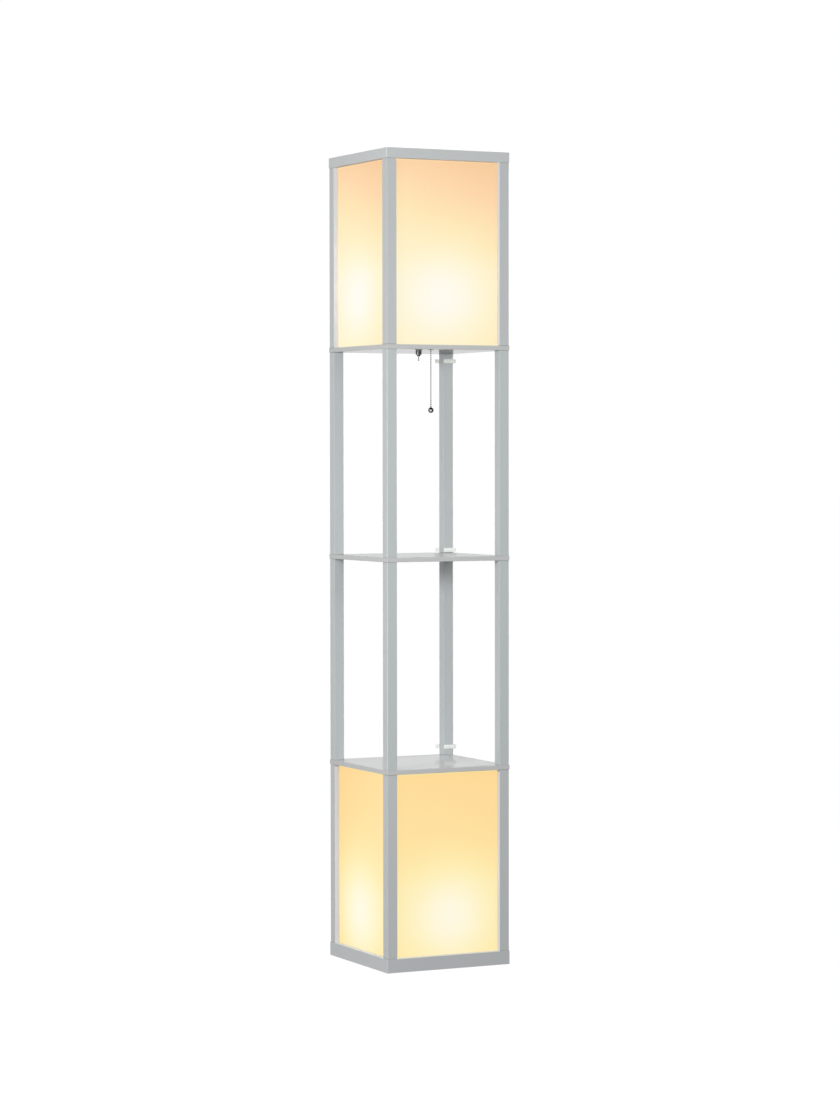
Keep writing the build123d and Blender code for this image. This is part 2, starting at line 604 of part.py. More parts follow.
# ---------------------------------------------------------------- inner wires
WR = 1.2
SW_FACE = HOUSE_Y1
wire_routes = [
    # lead to terminal block, through the slanting bore
    [(123.0, 101.7, 13.5), (83.3, 78.0, 13.5), (76.0, 60.0, 9.0), (66.0, 60.0, 9.0)],
    # inlet gland to terminal block
    [(0.0, 86.0, 13.5), (1.0, 74.0, 12.5), (9.0, 58.0, 9.0), (20.0, 58.0, 9.0)],
    # terminal block to the lower lampholder
    [(31.0, 46.0, 9.0), (31.0, 33.0, 9.0), (20.0, 10.0, 10.5), (LO_X + 8, LO_Y, 15.0), (LO_X + 8, LO_Y, 33.5)],
    # junction box to the two switches and the upper lampholder
    [(JB[0], 88.0, Z_LAN + 9), (32.0, 88.0, Z_LAN + 9), (14.0, 62.0, Z_LAN + 1.6), (16.0, 10.0, Z_LAN + 1.3),
     (-8.0, -48.0, Z_LAN + 1.3), (-25.0, -78.0, Z_LAN + 3.0), (-27.0, -88.0, Z_LAN + 7), (-27.0, SW_FACE, Z_LAN + 7)],
    [(JB[0], 100.0, Z_LAN + 9), (30.0, 100.0, Z_LAN + 9), (-20.0, 92.0, Z_LAN + 1.3), (-62.0, 50.0, Z_LAN + 1.3),
     (-64.0, -30.0, Z_LAN + 1.4), (-55.0, -74.0, Z_LAN + 2.5), (-53.5, -87.0, Z_LAN + 7), (-53.5, SW_FACE, Z_LAN + 7)],
    [(58.0, JB[2], Z_LAN + 9), (58.0, 70.0, Z_LAN + 9), (46.0, 40.0, Z_LAN + 4.0), (20.0, UP_Y, Z_LAN + 6.6),
     (UP_X + 12.0, UP_Y, Z_LAN + 6.6)],
]
wire_parts = []
for points in wire_routes:
    made, radii, length = tube(points, WR, 0.4)
    print("wire", round(length, 1), [round(r, 1) for r in radii])
    wire_parts.append(made.part)
with BuildPart() as inner_wires:
    for piece in wire_parts:
        add(piece)
inner_wires.part.label = "inner_wires"
export_step(inner_wires.part, "parts/inner_wires.step")
print("height", Z_TOP, "beads", BEADS)
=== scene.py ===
import math

import bmesh
import bpy
from mathutils import Matrix, Vector


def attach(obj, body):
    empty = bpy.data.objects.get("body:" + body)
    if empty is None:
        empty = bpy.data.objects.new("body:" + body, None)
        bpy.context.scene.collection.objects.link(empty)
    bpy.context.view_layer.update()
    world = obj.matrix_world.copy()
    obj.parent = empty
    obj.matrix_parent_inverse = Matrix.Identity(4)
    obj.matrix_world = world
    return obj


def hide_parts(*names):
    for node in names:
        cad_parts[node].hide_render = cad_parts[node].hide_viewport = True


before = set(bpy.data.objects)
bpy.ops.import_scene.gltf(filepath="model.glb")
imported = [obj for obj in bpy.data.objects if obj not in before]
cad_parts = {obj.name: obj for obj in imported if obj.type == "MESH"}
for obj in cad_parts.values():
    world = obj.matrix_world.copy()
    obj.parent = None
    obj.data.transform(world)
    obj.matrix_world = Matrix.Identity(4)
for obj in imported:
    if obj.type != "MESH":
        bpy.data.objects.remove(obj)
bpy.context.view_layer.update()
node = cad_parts
scene = bpy.context.scene

# ------------------------------------------------------------------ levels, in metres, as in the CAD
Z_BASE, Z_S3, Z_S2, Z_S1, Z_LAN, Z_RIM = 0.027, 0.386, 0.799, 1.212, 1.221, 1.580
UPPER = (-0.014, 0.018, Z_LAN)
LOWER = (0.008, 0.003, Z_BASE)
SW1, SW2, SW_Y = -0.0535, -0.027, -0.110

# ------------------------------------------------------------------ light levels
FLOOR_GLOW = 1.0
SKY_BELOW, SKY_SIDE, SKY_TOP = 0.10, 0.20, 0.40      # what diffuse rays meet under, at and over the horizon
GLOSS_DOWN, GLOSS_UP = 1.45, 1.07                      # what glossy rays meet
EMIT = 1.0
LAMP_UP, LAMP_LOW = 1.2, 0.8

# ------------------------------------------------------------------ camera, solved from the photograph's edges
AZ, PITCH, ROLL = math.radians(-26.2), math.radians(-1.849), math.radians(-0.063)
fwd = Vector((-math.sin(AZ), math.cos(AZ), 0))
right = Vector((math.cos(AZ), math.sin(AZ), 0))
up = Vector((0, 0, 1))
f2 = fwd * math.cos(PITCH) + up * math.sin(PITCH)
u2 = -fwd * math.sin(PITCH) + up * math.cos(PITCH)
r3 = right * math.cos(ROLL) + u2 * math.sin(ROLL)
u3 = -right * math.sin(ROLL) + u2 * math.cos(ROLL)
cam_data = bpy.data.cameras.new("camera")
cam_data.lens = 104.164
cam_data.sensor_width = 36
cam_data.clip_end = 200
cam = bpy.data.objects.new("camera", cam_data)
scene.collection.objects.link(cam)
cam.matrix_world = Matrix((
    (r3.x, u3.x, -f2.x, -2.8427),
    (r3.y, u3.y, -f2.y, -5.7833),
    (r3.z, u3.z, -f2.z, 1.0060),
    (0, 0, 0, 1),
))
scene.camera = cam
scene.view_settings.view_transform = "Standard"


# ------------------------------------------------------------------ small helpers
def lin(*srgb):
    """Linear colour from sRGB values of 0 to 255."""
    out = []
    for c in srgb:
        c /= 255
        out.append(c / 12.92 if c <= 0.04045 else ((c + 0.055) / 1.055) ** 2.4)
    return tuple(out) + (1.0,)


class Mat:
    """A node material under construction, in the row frame's own coordinates."""

    def __init__(self, name, color=(0.8, 0.8, 0.8, 1), rough=0.5, metallic=0.0, **sockets):
        self.m = bpy.data.materials.new(name)
        self.m.use_nodes = True
        self.t = self.m.node_tree
        self.t.nodes.clear()
        self.out = self.t.nodes.new("ShaderNodeOutputMaterial")
        self.b = self.t.nodes.new("ShaderNodeBsdfPrincipled")
        self.t.links.new(self.b.outputs[0], self.out.inputs[0])
        self.b.inputs["Base Color"].default_value = color
        self.b.inputs["Roughness"].default_value = rough
        self.b.inputs["Metallic"].default_value = metallic
        for k, v in sockets.items():
            self.b.inputs[k.replace("_", " ")].default_value = v
        self.co = self.t.nodes.new("ShaderNodeTexCoord").outputs["Object"]

    def link(self, a, b):
        self.t.links.new(a, b)

    def math(self, op, a, b=None, c=None, clamp=False):
        made = self.t.nodes.new("ShaderNodeMath")
        made.operation = op
        made.use_clamp = clamp
        for i, v in enumerate((a, b, c)):
            if v is None:
                continue
            if hasattr(v, "links"):
                self.t.links.new(v, made.inputs[i])
            else:
                made.inputs[i].default_value = v
        return made.outputs[0]

    def scaled(self, sx, sy, sz):
        m = self.t.nodes.new("ShaderNodeMapping")
        m.inputs["Scale"].default_value = (sx, sy, sz)
        self.t.links.new(self.co, m.inputs["Vector"])
        return m.outputs[0]

    def noise(self, scale, detail=2.0, rough=0.5, stretch=None):
        made = self.t.nodes.new("ShaderNodeTexNoise")
        made.inputs["Scale"].default_value = scale
        made.inputs["Detail"].default_value = detail
        made.inputs["Roughness"].default_value = rough
        self.t.links.new(self.scaled(*stretch) if stretch else self.co, made.inputs["Vector"])
        return made.outputs["Fac"]

    def spread(self, fac, low, high, lo_in=0.3, hi_in=0.7):
        made = self.t.nodes.new("ShaderNodeMapRange")
        self.t.links.new(fac, made.inputs["Value"])
        made.inputs["From Min"].default_value = lo_in
        made.inputs["From Max"].default_value = hi_in
        made.inputs["To Min"].default_value = low
        made.inputs["To Max"].default_value = high
        return made.outputs[0]

    def mix(self, fac, a, b, blend="MIX"):
        made = self.t.nodes.new("ShaderNodeMix")
        made.data_type = "RGBA"
        made.blend_type = blend
        self.t.links.new(fac, made.inputs[0]) if hasattr(fac, "links") else setattr(made.inputs[0], "default_value", fac)
        for v, i in ((a, 6), (b, 7)):
            if hasattr(v, "links"):
                self.t.links.new(v, made.inputs[i])
            else:
                made.inputs[i].default_value = v
        return made.outputs[2]

    def ramp(self, fac, stops, interpolation="LINEAR"):
        made = self.t.nodes.new("ShaderNodeValToRGB")
        r = made.color_ramp
        r.interpolation = interpolation
        while len(r.elements) < len(stops):
            r.elements.new(0.5)
        for e, (pos, col) in zip(r.elements, stops):
            e.position = pos
            e.color = col
        self.t.links.new(fac, made.inputs[0])
        return made.outputs[0]

    def bump(self, height, distance, strength=1.0, after=None):
        made = self.t.nodes.new("ShaderNodeBump")
        made.inputs["Strength"].default_value = strength
        made.inputs["Distance"].default_value = distance
        self.t.links.new(height, made.inputs["Height"])
        if after is not None:
            self.t.links.new(after, made.inputs["Normal"])
        return made.outputs[0]

    def set(self, socket, value):
        self.t.links.new(value, self.b.inputs[socket])
        return self


def paint(names, material):
    """Gives CAD nodes a material."""
    for n in [names] if isinstance(names, str) else names:
        slots = node[n].material_slots
        if not slots:
            node[n].data.materials.append(material)
        for s in slots:
            s.link = "OBJECT"
            s.material = material


def finished(name, bm, material, body, replaced=(), sharp=35):
    """Turns a bmesh into a piece that rides on a body and stands for CAD nodes."""
    me = bpy.data.meshes.new(name)
    bmesh.ops.remove_doubles(bm, verts=bm.verts, dist=1e-7)
    bmesh.ops.recalc_face_normals(bm, faces=bm.faces)
    bm.to_mesh(me)
    bm.free()
    me.shade_smooth()
    me.set_sharp_from_angle(angle=math.radians(sharp))
    me.materials.append(material)
    ob = bpy.data.objects.new(name, me)
    scene.collection.objects.link(ob)
    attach(ob, body)
    if replaced:
        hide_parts(*replaced)
    return ob


def lathe(bm, profile, centre, steps=32, radius_of=None):
    """Revolves (r, z) points, which run from one end to the other, round a vertical axis through centre."""
    cx, cy, cz = centre
    rings = []
    for r, z in profile:
        if r <= 1e-7:
            rings.append([bm.verts.new((cx, cy, cz + z))])
            continue
        ring = []
        for k in range(steps):
            a = 2 * math.pi * k / steps
            rr = radius_of(r, z, a) if radius_of else r
            ring.append(bm.verts.new((cx + rr * math.cos(a), cy + rr * math.sin(a), cz + z)))
        rings.append(ring)
    for a, b in zip(rings, rings[1:]):
        for k in range(steps):
            n = (k + 1) % steps
            if len(a) == 1 and len(b) == 1:
                continue
            if len(a) == 1:
                bm.faces.new((a[0], b[k], b[n]))
            elif len(b) == 1:
                bm.faces.new((a[k], a[n], b[0]))
            else:
                bm.faces.new((a[k], a[n], b[n], b[k]))
    return rings


# ------------------------------------------------------------------ materials: lacquered timber
def lacquer(name, color, rough, coat=0.0, coat_rough=0.1, peel=0.00002, drift=0.012, specular=0.5, seams=(), arris_highlight=None, reveal_glow=None, ledge_glow=None):
    """Sprayed lacquer over sanded board: faint drift of tone, fine orange peel, and gloss that wanders a little.
    seams are the levels of its joints, each with how dark it is; arris is how far out the corner edge stands and how
    much lighter its painted highlight is; reveal paints a lit sheet's spill light onto the sides of a post that stand
    beside it, with painted shade where they meet the lowest shelf, and ledge paints that spill light onto the strip in
    front of one."""
    m = Mat(name, rough=rough, IOR=1.47, Specular_IOR_Level=specular)
    if coat:
        m.b.inputs["Coat Weight"].default_value = coat
        m.b.inputs["Coat Roughness"].default_value = coat_rough
    cloud = m.noise(5.0, 3.0, 0.55)
    speck = m.noise(420.0, 2.0, 0.6)
    lo = tuple(c * (1 - drift) for c in color[:3]) + (1,)
    hi = tuple(min(1, c * (1 + drift)) for c in color[:3]) + (1,)
    base = m.mix(m.spread(cloud, 0, 1), lo, hi)
    fine = m.mix(m.spread(speck, 0, 1, 0.35, 0.65), (0.988, 0.988, 0.988, 1), (1.012, 1.012, 1.012, 1))
    base = m.mix(1.0, base, fine, "MULTIPLY")
    sep = m.t.nodes.new("ShaderNodeSeparateXYZ")
    m.link(m.co, sep.inputs[0])
    x, y = m.math("ABSOLUTE", sep.outputs["X"]), m.math("ABSOLUTE", sep.outputs["Y"])
    if arris_highlight:
        # painted highlight: the rounded corner edge is drawn paler, standing in for the light it catches
        corner = m.math("MULTIPLY", m.spread(x, 0, 1, arris_highlight[0] - 0.0012, arris_highlight[0] - 0.0004), m.spread(y, 0, 1, arris_highlight[0] - 0.0012, arris_highlight[0] - 0.0004))
        base = m.mix(corner, base, tuple(min(0.95, c * arris_highlight[1]) for c in color[:3]) + (1,))
    if reveal_glow or ledge_glow:
        beside = m.math("MAXIMUM",
                        m.math("MULTIPLY", m.math("LESS_THAN", x, 0.1124), m.math("GREATER_THAN", y, 0.1231)),
                        m.math("MULTIPLY", m.math("LESS_THAN", y, 0.1124), m.math("GREATER_THAN", x, 0.1231)))
    if reveal_glow:
        rise = m.spread(sep.outputs["Z"], reveal_glow[0], reveal_glow[1], 0.4, 1.2)
        # painted light: beside a lit sheet the post takes another base colour and a glow of its own, standing in for
        # the sheet's spill light; where the lower lantern meets the lowest shelf the glow fades to painted shade
        base = m.mix(beside, base, (0.25, 0.254, 0.262, 1))
        spill = m.t.nodes.new("ShaderNodeCombineColor")
        spill_shade_at_joint = m.spread(m.math("ABSOLUTE", m.math("SUBTRACT", sep.outputs["Z"], Z_S3)), 0.15, 1, 0.001, 0.005)
        lit = m.math("MULTIPLY", m.math("MULTIPLY", beside, rise), spill_shade_at_joint)
        depth = m.math("MAXIMUM", x, y)    # painted spill light: warm beside the sheet, neutral towards the outer edge
        for i, (inner, outer) in enumerate(((1.12, 1.01), (0.98, 1.02), (0.73, 1.08))):
            m.link(m.math("MULTIPLY", lit, m.spread(depth, inner, outer, 0.1240, 0.1305)), spill.inputs[i])
        m.set("Emission Color", spill.outputs[0])
        m.b.inputs["Emission Strength"].default_value = 1.0
    if ledge_glow:
        # painted light: a warm glow on the base's top strip in front of each sheet, standing in for the sheet's spill
        # light
        strip = m.math("MULTIPLY", m.math("GREATER_THAN", sep.outputs["Z"], ledge_glow[0]), beside)
        m.set("Emission Color", m.mix(strip, (0, 0, 0, 1), tuple(c * ledge_glow[1] for c in (1.0, 0.95, 0.80)) + (1,)))
        m.b.inputs["Emission Strength"].default_value = 1.0
    if seams:
        gap = 0.0
        for z, depth in seams:
            d = m.math("ABSOLUTE", m.math("SUBTRACT", sep.outputs["Z"], z))
            gap = m.math("MAXIMUM", m.spread(d, depth, 0, 0.0005, 0.0017), gap)
        base = m.mix(gap, base, (0.12, 0.12, 0.125, 1))
    m.set("Base Color", base)
    m.set("Roughness", m.spread(m.noise(38.0, 3.0, 0.6), rough - 0.04, rough + 0.05))
    orange = m.noise(620.0, 2.0, 0.5)
    sanding = m.noise(90.0, 3.0, 0.5, (1, 1, 0.06))
    m.set("Normal", m.bump(orange, peel, 0.6, m.bump(sanding, peel * 1.6, 0.35)))
    return m.m


# One grey paint in several copies: the slight shifts of tone between them are painted light, with the lantern posts a
# touch warmer for the glow of the sheets beside them and the rim a touch paler at the lit top of the lamp.
FRAME_GREY = lin(186, 191, 192)
BAY_JOINTS = ((Z_S3 + 0.009, 0.12), (Z_S2, 0.15), (Z_S2 + 0.009, 0.12), (Z_S1, 0.15))
LANTERN_JOINTS = ((Z_BASE, 0.3), (Z_S3, 0.2), (Z_LAN, 0.6), (Z_RIM, 0.25))
bay_grey = lacquer("bay_post_lacquer", FRAME_GREY, 0.42, seams=BAY_JOINTS, arris_highlight=(0.133, 1.30))
lantern_grey = lacquer("lantern_post_lacquer", lin(187, 190, 191), 0.42, seams=LANTERN_JOINTS, arris_highlight=(0.133, 1.03), reveal_glow=(0.395, 0.40))
rim_grey = lacquer("rim_lacquer", lin(192, 196, 196), 0.40, arris_highlight=(0.134, 1.28))
base_grey = lacquer("base_lacquer", lin(187, 190, 192), 0.42, arris_highlight=(0.134, 1.15), ledge_glow=(0.0266, 0.22))
shelf_grey = lacquer("shelf_lacquer", lin(194, 195, 195), 0.22, coat=0.5, coat_rough=0.03, peel=0.0000008, specular=0.0)

for n in node:
    if "_post_" in n:
        paint(n, bay_grey if "bay" in n else lantern_grey)
paint([n for n in node if n.startswith("rim_rail")], rim_grey)
paint("base_block", base_grey)
paint([n for n in node if n.endswith("_shelf")], shelf_grey)


# ------------------------------------------------------------------ materials: lit shades
SHEET = (0.08, 0.075, 0.065, 1)
# What each sheet gives back of the studio light, which its glow is set against.
REST = {"upper_wide": (0.100, 0.095, 0.086), "upper_side": (0.117, 0.112, 0.102),
        "lower_wide": (0.091, 0.086, 0.078), "lower_side": (0.112, 0.107, 0.098)}


def shade(name, along, z0, height, base, spot, centre, tilt, tint, rest):
    """Milky sheet with the glow of the bulb behind it. along is the axis across the panel; z0 and height are the lantern's.
    base is the even light, as levels at the top, at the plateau and at the foot, the plateau's height and the climb's power;
    spot is the bright patch, as its strength, half widths across and up, and height; tilt is the drift from side to side."""
    m = Mat(name, color=SHEET, rough=0.55, IOR=1.35)
    top, mid, low, knee, power = base
    strength, wide, tall, peak = spot
    sep = m.t.nodes.new("ShaderNodeSeparateXYZ")
    m.link(m.co, sep.inputs[0])
    u, z = sep.outputs[along], sep.outputs["Z"]
    v = m.math("DIVIDE", m.math("SUBTRACT", z, z0), height)
    above = m.math("DIVIDE", m.math("MAXIMUM", m.math("SUBTRACT", v, knee), 0.0), 1 - knee)
    level = m.math("SUBTRACT", mid, m.math("MULTIPLY", m.math("POWER", above, power), mid - top))
    below = m.math("DIVIDE", m.math("MAXIMUM", m.math("SUBTRACT", knee, v), 0.0), knee)
    level = m.math("SUBTRACT", level, m.math("MULTIPLY", m.math("POWER", below, 2.0), mid - low))
    du = m.math("DIVIDE", m.math("SUBTRACT", u, centre), wide)
    dz = m.math("DIVIDE", m.math("SUBTRACT", z, z0 + peak * height), tall)
    square = m.math("ADD", m.math("MULTIPLY", du, du), m.math("MULTIPLY", dz, dz))
    glow = m.math("MULTIPLY", m.math("EXPONENT", m.math("MULTIPLY", square, -0.5)), strength)
    level = m.math("ADD", m.math("ADD", level, glow), m.math("MULTIPLY", u, tilt))
    # fibres of the sheet, along and across, and slow cloudiness
    warp = m.noise(2600.0, 1.0, 0.5, (1, 1, 0.035))
    weft = m.noise(2600.0, 1.0, 0.5, (0.035, 0.035, 1))
    weave = m.math("ADD", m.math("SUBTRACT", warp, 0.5), m.math("SUBTRACT", weft, 0.5))
    cloud = m.math("SUBTRACT", m.noise(14.0, 3.0, 0.5), 0.5)
    level = m.math("ADD", level, m.math("ADD", m.math("MULTIPLY", weave, 5.0), m.math("MULTIPLY", cloud, 3.0)))
    # the rail above shades the sheet's last millimetres, and the lit rail gives some of it back
    level = m.math("ADD", level, m.spread(z, 0, 5 if z0 == Z_LAN else 14, z0 + height - 0.006, z0 + height - 0.002))
    level = m.math("DIVIDE", level, 255.0)
    stops = [(b / 255, tuple(max(0.0, c - d) for c, d in zip(lin(r, g, b), rest)) + (1,)) for b, (r, g) in tint]
    colour = m.ramp(level, stops)
    m.set("Emission Color", colour)
    m.b.inputs["Emission Strength"].default_value = EMIT
    m.set("Normal", m.bump(weave, 0.00006, 0.5))
    return m.m


UP_TINT = [(160, (247, 206)), (171, (254, 215)), (180, (255, 227)), (190, (255, 236)), (210, (255, 245)), (238, (255, 251)), (252, (255, 254))]
LO_TINT = [(152, (255, 217)), (158, (255, 223)), (166, (255, 229)), (175, (255, 235)), (190, (255, 241)), (210, (255, 246)), (226, (255, 249)), (246, (255, 254))]
shades = {}
for side, along, kind in (("front", "X", "wide"), ("rear", "X", "wide"), ("left", "Y", "side"), ("right", "Y", "side")):
    wide = kind == "wide"
    shades["upper_" + side] = shade(
        "upper_shade_" + side, along, Z_LAN, 0.359,
        (163.5, 197.0, 197.0, 0.388, 1.24) if wide else (163.0, 208.0, 200.0, 0.389, 0.91),
        (42.0, 0.073, 0.060, 0.258) if wide else (32.0, 0.057, 0.0565, 0.264),
        -0.001 if wide else 0.0136, -57.0 if wide else 57.0, UP_TINT, REST["upper_" + kind])
    shades["lower_" + side] = shade(
        "lower_shade_" + side, along, Z_BASE, 0.359,
        (154.5, 170.5, 167.5, 0.39, 0.61) if wide else (155.0, 170.5, 165.5, 0.326, 0.72),
        (57.0, 0.065, 0.063, 0.203) if wide else (57.0, 0.0615, 0.067, 0.203),
        0.0097 if wide else 0.0141, -18.0 if wide else -41.0, LO_TINT, REST["lower_" + kind])
for key, m in shades.items():
    which, side = key.split("_")
    paint(f"{which}_shade_{side}", m)
    node[f"{which}_shade_{side}"].visible_diffuse = False

# ------------------------------------------------------------------ materials: small parts


def plastic(name, color, rough, peel=0.00001, **sockets):
    m = Mat(name, rough=rough, **sockets)
    cloud = m.spread(m.noise(60.0, 3.0, 0.5), 0, 1)
    m.set("Base Color", m.mix(cloud, tuple(c * 0.97 for c in color[:3]) + (1,), color))
    m.set("Roughness", m.spread(m.noise(260.0, 2.0, 0.6), rough - 0.05, rough + 0.06))
    m.set("Normal", m.bump(m.noise(1500.0, 2.0, 0.5), peel, 0.6))
    return m.m


def metal(name, color, rough, brushed=None, scale=900.0):
    m = Mat(name, rough=rough, metallic=1.0)
    tone = m.spread(m.noise(scale * 0.3, 3.0, 0.6), 0, 1)
    m.set("Base Color", m.mix(tone, tuple(c * 0.88 for c in color[:3]) + (1,), color))
    m.set("Roughness", m.spread(m.noise(scale, 2.0, 0.6, brushed), max(0.02, rough - 0.05), rough + 0.07))
    m.set("Normal", m.bump(m.noise(scale * 2, 2.0, 0.5, brushed), 0.000004, 0.4))
    return m.m


dark_nickel = metal("dark_nickel", lin(120, 120, 122), 0.18)
neck_metal = metal("neck_nickel", lin(204, 204, 206), 0.10)
bead_metal = metal("bead_nickel", lin(118, 116, 115), 0.16)
ball_metal = metal("ball_chrome", lin(190, 188, 184), 0.06)
zinc = metal("zinc_plate", lin(190, 191, 196), 0.30)
brass = metal("brass", lin(214, 180, 104), 0.28)
aluminium = metal("cap_aluminium", lin(222, 222, 222), 0.24, (1, 1, 0.1))
clip_mat = plastic("clip_plastic", lin(243, 244, 240), 0.28, Subsurface_Weight=0.15, Subsurface_Scale=0.003, Subsurface_Radius=(0.5, 0.5, 0.5))
white_plastic = plastic("holder_plastic", lin(232, 232, 228), 0.38)
switch_mat = plastic("switch_plastic", lin(224, 224, 220), 0.45)
black_plastic = plastic("black_nylon", lin(34, 34, 34), 0.45)
rubber = plastic("grommet_rubber", lin(214, 214, 210), 0.6)
nylon = plastic("terminal_nylon", lin(230, 226, 214), 0.5, Subsurface_Weight=0.1, Subsurface_Scale=0.002, Subsurface_Radius=(0.5, 0.5, 0.5))
lead_mat = plastic("lead_jacket", lin(228, 229, 226), 0.42, 0.00002)
wire_mat = plastic("wire_jacket", lin(226, 226, 220), 0.4)


def wood(name, light, dark, scale):
    m = Mat(name, rough=0.6)
    rings = m.noise(scale, 4.0, 0.6, (1, 1, 0.08))
    m.set("Base Color", m.mix(m.spread(rings, 0, 1), dark, light))
    m.set("Normal", m.bump(rings, 0.00008, 0.5))
    return m.m


def hardboard(name):
    m = Mat(name, rough=0.62)
    fibre = m.noise(320.0, 6.0, 0.65)
    flecks = m.noise(900.0, 3.0, 0.7, (1, 0.35, 1))
    tone = m.mix(m.spread(fibre, 0, 1), lin(92, 68, 46), lin(132, 101, 70))
    m.set("Base Color", m.mix(m.spread(flecks, 0, 0.5, 0.5, 0.75), tone, lin(158, 126, 92)))
    m.set("Roughness", m.spread(fibre, 0.5, 0.72))
    m.set("Normal", m.bump(fibre, 0.00012, 0.7))
    return m.m


beech = wood("bare_beech", lin(206, 176, 134), lin(176, 140, 98), 260.0)
board = hardboard("hardboard")

opal = Mat("opal_glass", color=lin(250, 248, 242), rough=0.22, Emission_Color=(1.0, 0.84, 0.58, 1), Emission_Strength=4.0)
opal.set("Roughness", opal.spread(opal.noise(120.0, 2.0), 0.18, 0.28))

paint("post_studs", zinc)
paint("base_bolts", zinc)
paint("rim_dowels", beech)
paint("base_cover", board)
paint(["upper_lampholder", "lower_lampholder"], white_plastic)
paint("holder_contacts", brass)
paint(["upper_bulb_cap", "lower_bulb_cap"], aluminium)
paint(["upper_bulb_glass", "lower_bulb_glass"], opal.m)
paint(["switch_1_housing", "switch_2_housing", "junction_box"], switch_mat)
paint("switch_2_bushing", dark_nickel)
paint("link_lead", lead_mat)
paint("inlet_gland", black_plastic)
paint("panel_grommet", rubber)
paint("terminal_block", nylon)
paint("inner_wires", wire_mat)

# ------------------------------------------------------------------ bead chains and ball
BEAD, WIRE, PITCH_Z = 0.0013, 0.00045, 0.004


def bead_points(zs, wire_from, wire_to):
    """Profile, from low to high, of hollow beads on short dumbbell wires: each bead has a small lip where the wire enters."""
    pts = [(0.0, wire_from), (WIRE, wire_from)]
    for z in sorted(zs):
        pts.append((WIRE, z - BEAD * 0.985))
        pts.append((WIRE * 1.55, z - BEAD * 1.0))
        for k in range(-5, 6):
            a = math.radians(k * 14.4)
            pts.append((BEAD * math.cos(a), z + BEAD * math.sin(a)))
        pts.append((WIRE * 1.55, z + BEAD * 1.0))
        pts.append((WIRE, z + BEAD * 0.985))
    pts.append((WIRE, wire_to))
    pts.append((0.0, wire_to))
    return pts


bm = bmesh.new()
lathe(bm, [(0, 1.233), (0.0042, 1.233), (0.0045, 1.2333), (0.0045, 1.2357), (0.0042, 1.236), (0, 1.236)], (SW1, SW_Y, 0), 24)
lathe(bm, bead_points([1.1916 + PITCH_Z * k for k in range(9)], 1.1899, 1.2335), (SW1, SW_Y, 0), 16)
finished("short_chain", bm, bead_metal, "pull_1", ["pull_1_chain"], 60)

bm = bmesh.new()
lathe(bm, [(0, 1.233), (0.0042, 1.233), (0.0045, 1.2333), (0.0045, 1.2357), (0.0042, 1.236), (0, 1.236)], (SW2, SW_Y, 0), 24)
lathe(bm, bead_points([1.209 + PITCH_Z * k for k in range(1, 5)], 1.21075, 1.2335), (SW2, SW_Y, 0), 16)
finished("long_chain_stem", bm, bead_metal, "pull_2", ["pull_2_stem"], 60)

bm = bmesh.new()
lathe(bm, bead_points([1.209], 1.20745, 1.21055), (SW2, SW_Y, 0), 16)
finished("long_chain_link", bm, bead_metal, "swing_link", ["pull_2_link"], 60)

bm = bmesh.new()
lathe(bm, bead_points([1.209 - PITCH_Z * (k + 1) for k in range(27)], 1.0985, 1.20725), (SW2, SW_Y, 0), 16)
finished("long_chain", bm, bead_metal, "swing_chain", ["pull_2_chain"], 60)

# Ball with a collar where the chain enters and a small dimple at the bottom.
BALL = 0.0054
pts = [(0.0, -BALL * 0.93), (0.0004, -BALL * 0.94), (0.0007, -BALL * 0.98)]
for k in range(-23, 24):
    a = math.radians(k * 3.45)
    pts.append((BALL * math.cos(a), BALL * math.sin(a)))
pts += [(0.00105, BALL * 0.985), (0.00115, BALL * 1.02), (0.00105, BALL * 1.06), (0.0007, BALL * 1.07), (0.0, BALL * 1.07)]
bm = bmesh.new()
lathe(bm, pts, (SW2, SW_Y, 1.0942), 48)
finished("chain_ball", bm, ball_metal, "swing_chain", ["pull_ball"], 50)

# Knurled neck of the first switch, with a flange nut above and a threaded tip below.
def knurl(r, z, a):
    if 1.2022 <= z <= 1.2092 and r > 0.0055:
        return r - 0.00006 * (0.5 + 0.5 * math.cos(24 * a))
    return r


bm = bmesh.new()
pts = [(0.0023, 1.1986), (0.0030, 1.1986), (0.0033, 1.1989)]
for k in range(4):
    z = 1.1990 + k * 0.0006
    pts += [(0.0033 + k * 0.00022, z), (0.0037 + k * 0.00022, z + 0.0003)]
pts += [(0.0046, 1.2014), (0.0056, 1.2016), (0.0062, 1.2020), (0.00625, 1.2024), (0.00625, 1.2058), (0.0059, 1.2060), (0.0059, 1.2064),
        (0.00625, 1.2066), (0.00625, 1.2090), (0.0061, 1.2094), (0.0056, 1.2096), (0.0056, 1.2100), (0.0070, 1.2102), (0.0074, 1.2105),
        (0.0074, 1.2117), (0.0072, 1.2120), (0.0050, 1.2120), (0.0050, 1.2240), (0.0023, 1.2240)]
rings = lathe(bm, pts, (SW1, SW_Y, 0), 96, knurl)
for k in range(96):
    n = (k + 1) % 96
    bm.faces.new((rings[0][k], rings[-1][k], rings[-1][n], rings[0][n]))
finished("switch_neck", bm, neck_metal, "root", ["switch_1_neck"], 30)


# ------------------------------------------------------------------ clips on the rear post
def rounded(points, radii, steps=6):
    """A closed outline with its corners rounded."""
    out = []
    n = len(points)
    for i in range(n):
        p = Vector(points[i]); a = Vector(points[i - 1]); b = Vector(points[(i + 1) % n])
        r = radii[i]
        if r <= 0:
            out.append(p)
            continue
        da, db = (a - p).normalized(), (b - p).normalized()
        half = da.angle(db) / 2
        t = r / math.tan(half)
        c = p + (da + db).normalized() * (r / math.sin(half))
        s, e = p + da * t - c, p + db * t - c
        for k in range(steps + 1):
            w = s.angle(e)
            out.append(c + (s * math.sin((1 - k / steps) * w) + e * math.sin(k / steps * w)) / math.sin(w))
    return out


